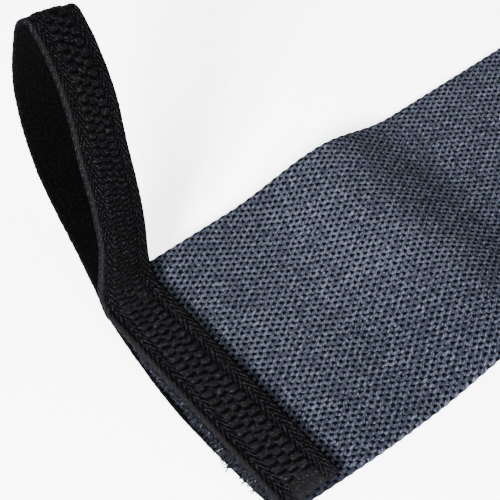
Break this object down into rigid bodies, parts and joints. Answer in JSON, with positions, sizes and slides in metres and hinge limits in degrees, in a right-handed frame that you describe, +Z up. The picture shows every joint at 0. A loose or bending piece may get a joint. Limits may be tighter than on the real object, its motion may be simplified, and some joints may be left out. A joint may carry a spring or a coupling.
{
  "type": "wrist wrap",
  "caption": "Elastic wrist wrap: a wide knit strip lying flat with one soft ridge, and a ribbed tape thumb loop standing up at one end.",
  "frame": {"origin": "on the surface that the wrap lies on, under the middle of the whole part", "axes": "+X along the strip, away from the thumb loop's end; +Y across it towards the edge where the loop stands up; +Z up"},
  "size_m": [0.301, 0.11, 0.066],
  "materials": {
    "knit_elastic": "matte knit",
    "ribbed_tape": "matte ribbed elastic",
    "hook_fastener": "matte hook tape"
  },
  "bodies": {
    "root": {"wrap_band": "knit_elastic", "thumb_loop": "ribbed_tape", "hook_patch": "hook_fastener"}
  },
  "joints": []
}
